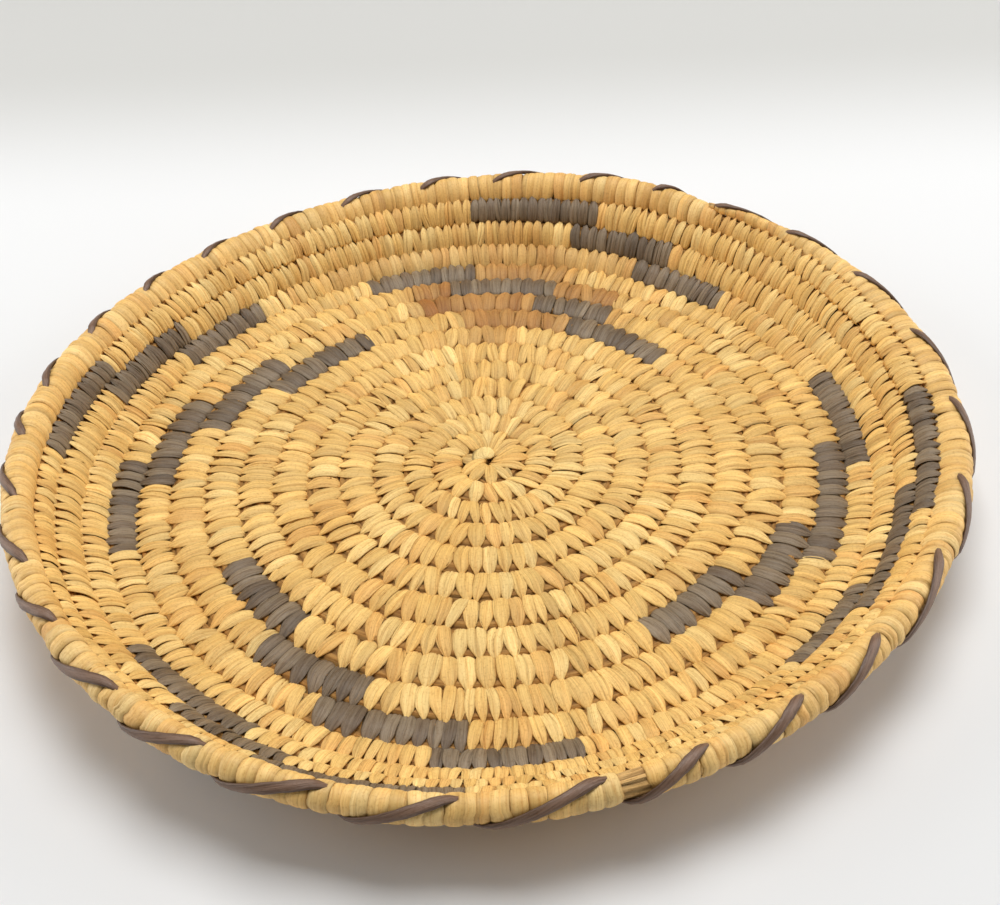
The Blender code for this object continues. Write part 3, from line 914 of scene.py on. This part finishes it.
# The bundles of stems inside the stitches and inside the rim's wraps.
base_bundle = make_foundation(
    "base_bundle", coil_frame, -0.2, BASE_END, inset=((0, 0.75),), fill=1.1, square=0.8,
    colour=BUNDLE_TONE)
dress(base_bundle, "pale_sewing", "base_coil")
wall_bundle = make_foundation(
    "wall_bundle", coil_frame, BASE_END, WALL_END, inset=((0, 0.9),), fill=1.08, square=0.95,
    colour=BUNDLE_TONE)
dress(wall_bundle, "pale_sewing", "wall_coil")
rim_bundle = make_foundation(
    "rim_bundle", rim_frame, WALL_END, RIM_END, inset=RIM_BUNDLE_DEPTH, fill=1.0, square=1.0,
    colour=BARE_STEM_TONE_WITH_PAINTED_LIGHT, step=2 * MM)
dress(rim_bundle, "rim_wrapping", "rim_coil")

# The wraps of the rim, and the dark lashing over them.
wraps, covered = rim_wraps()
wrap_room = (gaps_round(wraps) * RIM_LENGTH)[covered]
wraps = wraps[covered]
points, quads, strand, shade, groove = make_stitches(
    rim_frame, WRAP, wraps, wrap_room * WRAP_OVERLAP, rim_radius(wraps), seed=900,
    sharp=np.full(len(wraps), 1.1), bite=np.ones(len(wraps)), doming=0.17,
    slack=np.full(len(wraps), 0.2), folds=1, press=lash_press)
# Painted shade on the wraps, deepened by a power.
tone = spread_tone(pale_tones(wraps, 901) * RIM_TINT, shade ** WRAP_SHADE_POWER, groove, WRAP_DIRT_AND_SHADE)
rim_sewn = mesh_object("rim_wraps", points, quads, rim_leaf, strand, tone)
dress(rim_sewn, "rim_wrapping")

lash = make_lash("rim_lash", lash_bark)
dress(lash, "dark_lashing", "rim_lashing")


def sweep_material():
    """White sheet, a little greyer where it starts to rise behind the plate."""
    material, nodes, links = new_material("sweep_white")
    shader = nodes["Principled BSDF"]
    shader.inputs["Roughness"].default_value = 0.75
    shader.inputs["Specular IOR Level"].default_value = 0.2
    apart = nodes.new("ShaderNodeSeparateXYZ")
    links.new(nodes.new("ShaderNodeNewGeometry").outputs["Position"], apart.inputs[0])
    spread = nodes.new("ShaderNodeMapRange")
    spread.interpolation_type = "SMOOTHSTEP"
    spread.inputs["From Min"].default_value = GREY_FROM
    spread.inputs["From Max"].default_value = GREY_TO
    links.new(apart.outputs["Y"], spread.inputs["Value"])
    stops = ((0.0, FLOOR_WHITE), (1.0, FLOOR_FAR))
    links.new(add_ramp(nodes, links, spread.outputs["Result"], stops), shader.inputs["Base Color"])
    return material


def stand_sweep():
    """A matt white sheet that lies just under the plate and curves up behind it."""
    bend = [(0.0, -1.6), (0.0, 0.9)]
    for angle in np.radians((18, 36, 54, 72, 90)):
        bend.append((0.8 - 0.8 * math.cos(angle), 0.9 + 0.8 * math.sin(angle)))
    bend.append((2.2, 1.7))
    points = np.array([(x, y, z - 0.0002) for z, y in bend for x in (-2.5, 2.5)])
    quads = [(2 * i, 2 * i + 1, 2 * i + 3, 2 * i + 2) for i in range(len(bend) - 1)]
    mesh_object("sweep", points, quads, sweep_material())


def area_light(name, place_at, power):
    """A soft square lamp that faces the plate."""
    lamp = bpy.data.lights.new(name, "AREA")
    lamp.size = LAMP_SIZE
    lamp.energy = power
    light = bpy.data.objects.new(name, lamp)
    light.location = place_at
    light.rotation_euler = (-Vector(place_at)).to_track_quat("-Z", "Y").to_euler()
    bpy.context.scene.collection.objects.link(light)


def light_stage():
    """The inside of a white tent: a dim white world and three soft lamps."""
    world = bpy.data.worlds.new("tent")
    world.use_nodes = True
    background = world.node_tree.nodes["Background"]
    background.inputs["Color"].default_value = (1.0, 1.0, 1.0, 1)
    background.inputs["Strength"].default_value = WORLD_STRENGTH
    bpy.context.scene.world = world
    for lamp in LAMPS:
        area_light(*lamp)


def stand_camera():
    """Camera from its place, its downward tilt and its small roll."""
    back = Vector((0, -math.cos(CAMERA_PITCH), math.sin(CAMERA_PITCH)))
    right = Vector((1, 0, 0))
    up = right.cross(-back)
    roll_right = math.cos(CAMERA_ROLL) * right + math.sin(CAMERA_ROLL) * up
    roll_up = -math.sin(CAMERA_ROLL) * right + math.cos(CAMERA_ROLL) * up
    lens = bpy.data.cameras.new("camera")
    lens.sensor_width = SENSOR_WIDTH
    lens.lens = FOCAL_PIXELS / IMAGE_WIDTH * SENSOR_WIDTH
    lens.clip_start = 0.01
    camera = bpy.data.objects.new("camera", lens)
    turned = Matrix((roll_right, roll_up, back)).transposed().to_4x4()
    camera.matrix_world = Matrix.Translation(Vector(CAMERA_AT)) @ turned
    bpy.context.scene.collection.objects.link(camera)
    bpy.context.scene.camera = camera


stand_sweep()
light_stage()
stand_camera()
bpy.context.scene.view_settings.view_transform = "Standard"
